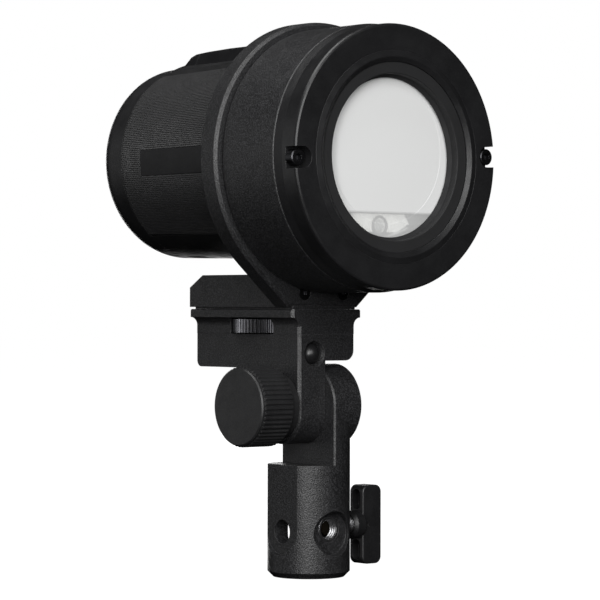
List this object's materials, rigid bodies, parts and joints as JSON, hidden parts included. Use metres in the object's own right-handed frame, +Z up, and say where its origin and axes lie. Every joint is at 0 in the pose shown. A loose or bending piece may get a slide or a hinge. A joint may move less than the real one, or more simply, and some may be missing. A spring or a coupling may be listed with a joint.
{
  "type": "monolight strobe",
  "caption": "Compact battery flash head in a round accessory-ring adapter, on a tilting bracket with a stand socket and clamp knobs.",
  "frame": {"origin": "centre of the stand socket's bottom face, at the mouth of the spigot bore", "axes": "+Z up along the spigot bore, light shines along -Y, tilt axis along X"},
  "size_m": [0.107, 0.1434, 0.2139],
  "materials": {
    "powder_coat": "fine textured black powder coat",
    "satin_black": "satin black anodised",
    "flat_black": "light-absorbing matte black",
    "moulded_black": "smooth moulded black",
    "grip_black": "moulded with a fine micro-grid",
    "battery_black": "smooth moulded, slightly glossy",
    "badge_black": "smooth blank badge",
    "knob_black": "moulded knob",
    "rubber_black": "soft black rubber",
    "screw_black": "black oxide steel",
    "bright_steel": "plain steel",
    "brass": "plain brass",
    "opal_glass": "frosted opal",
    "clear_lens": "clear moulded lens",
    "white_plastic": "white moulded",
    "display_glass": "tinted window",
    "display_cell": "LCD module",
    "circuit_board": "solder mask",
    "cell_sleeve": "shrink sleeve",
    "mirror_metal": "bright reflector",
    "capacitor_can": "sleeved can",
    "chassis_plastic": "grey moulded"
  },
  "bodies": {
    "stand_socket": {"stand_socket": "powder_coat", "thread_insert": "bright_steel", "tilt_bolt": "screw_black"},
    "clamp_pad": {"clamp_pad": "brass"},
    "t_handle": {"clamp_screw": "bright_steel", "t_handle": "moulded_black"},
    "bracket": {"tilt_bracket": "powder_coat", "friction_washer": "white_plastic", "knob_washer": "screw_black", "bracket_screws": "screw_black", "clamp_shoe": "powder_coat", "release_spring": "bright_steel"},
    "tilt_knob": {"tilt_knob": "knob_black", "knob_insert": "brass"},
    "thumbwheel": {"thumbwheel": "screw_black"},
    "lock_screw": {"lock_screw": "bright_steel"},
    "release_button": {"release_button": "satin_black"},
    "adapter": {"adapter_foot": "powder_coat", "adapter_plate": "powder_coat", "plate_screws": "screw_black", "adapter_drum": "powder_coat", "drum_screws": "screw_black", "front_ring": "satin_black", "ring_screws": "screw_black", "trim_ring": "satin_black", "front_baffle": "flat_black", "inner_sleeve": "flat_black"},
    "head": {"head_shell": "moulded_black", "grip_sleeve": "grip_black", "side_badges": "badge_black", "bottom_cover": "moulded_black", "bay_frame": "moulded_black", "rear_cap": "moulded_black", "display_window": "display_glass", "display_panel": "display_cell", "control_board": "circuit_board", "usb_port": "bright_steel", "battery_contacts": "brass", "glass_bezel": "flat_black", "front_glass": "opal_glass", "glass_gasket": "rubber_black", "reflector": "mirror_metal", "flash_tube": "clear_lens", "tube_base": "white_plastic", "led_panel": "white_plastic", "led_lens": "clear_lens", "bulkhead": "chassis_plastic", "chassis": "chassis_plastic", "capacitor": "capacitor_can", "power_board": "circuit_board", "fan_frame": "moulded_black"},
    "control_dial": {"control_dial": "knob_black"},
    "dial_button": {"dial_button": "satin_black"},
    "power_button": {"power_button": "rubber_black"},
    "test_button": {"test_button": "rubber_black"},
    "port_cover": {"port_cover": "rubber_black"},
    "battery": {"battery_case": "battery_black", "battery_cells": "cell_sleeve"},
    "battery_latch": {"battery_latch": "battery_black"},
    "fan": {"fan_rotor": "moulded_black"}
  },
  "joints": [
    {"name": "tilt", "type": "hinge", "parent": "stand_socket", "child": "bracket", "pos_m": [0, 0, 0.0662], "axis": [1, 0, 0], "range_deg": [-85, 85]},
    {"name": "knob_turn", "type": "hinge", "parent": "bracket", "child": "tilt_knob", "pos_m": [-0.027, 0, 0.0662], "axis": [1, 0, 0], "range_deg": [-15, 360]},
    {"name": "clamp_pad_travel", "type": "slide", "parent": "stand_socket", "child": "clamp_pad", "axis": [1, 0, 0], "range_m": [-0.00125, 0.00375]},
    {"name": "t_handle_turn", "type": "hinge", "parent": "clamp_pad", "child": "t_handle", "pos_m": [0.0244, 0, 0.0188], "axis": [1, 0, 0], "range_deg": [-365, 1085]},
    {"name": "thumbwheel_turn", "type": "hinge", "parent": "bracket", "child": "thumbwheel", "pos_m": [0, 0.0183, 0.0968], "axis": [0, 0, 1], "range_deg": [0, 540]},
    {"name": "lock_screw_travel", "type": "slide", "parent": "bracket", "child": "lock_screw", "axis": [0, 0, -1], "range_m": [0, 0.0016]},
    {"name": "release_press", "type": "slide", "parent": "bracket", "child": "release_button", "axis": [0, 1, 0], "range_m": [0, 0.002], "stiffness_N_per_m": 600, "springref_m": -0.002, "deforming": ["release_spring"]},
    {"name": "adapter_slide", "type": "slide", "parent": "bracket", "child": "adapter", "axis": [0, 1, 0], "range_m": [0, 0.06]},
    {"name": "head_withdraw", "type": "slide", "parent": "adapter", "child": "head", "axis": [0, 1, 0], "range_m": [0, 0.055]},
    {"name": "battery_lift", "type": "slide", "parent": "head", "child": "battery", "axis": [0, 0, 1], "range_m": [0, 0.034]},
    {"name": "latch_press", "type": "slide", "parent": "battery", "child": "battery_latch", "axis": [0, 0, -1], "range_m": [0, 0.0012], "stiffness_N_per_m": 600, "springref_m": -0.001},
    {"name": "dial_turn", "type": "hinge", "parent": "head", "child": "control_dial", "pos_m": [0, 0.089, 0.1489], "axis": [0, 1, 0], "continuous": true},
    {"name": "dial_press", "type": "slide", "parent": "head", "child": "dial_button", "axis": [0, -1, 0], "range_m": [0, 0.0007], "stiffness_N_per_m": 800, "springref_m": -0.0005},
    {"name": "power_press", "type": "slide", "parent": "head", "child": "power_button", "axis": [0, -1, 0], "range_m": [0, 0.0007], "stiffness_N_per_m": 800, "springref_m": -0.0005},
    {"name": "test_press", "type": "slide", "parent": "head", "child": "test_button", "axis": [0, -1, 0], "range_m": [0, 0.0007], "stiffness_N_per_m": 800, "springref_m": -0.0005},
    {"name": "port_cover_open", "type": "hinge", "parent": "head", "child": "port_cover", "pos_m": [0, 0.0679, 0.12467], "axis": [1, 0, 0], "range_deg": [0, 95]},
    {"name": "fan_spin", "type": "hinge", "parent": "head", "child": "fan", "pos_m": [0, 0.0634, 0.1463], "axis": [0, 1, 0], "continuous": true}
  ],
  "couplings": [
    {"joint": "t_handle_turn", "follows": "clamp_pad_travel", "rad_per_m": 5026.5},
    {"joint": "lock_screw_travel", "follows": "thumbwheel_turn", "m_per_rad": 0.00015915}
  ]
}
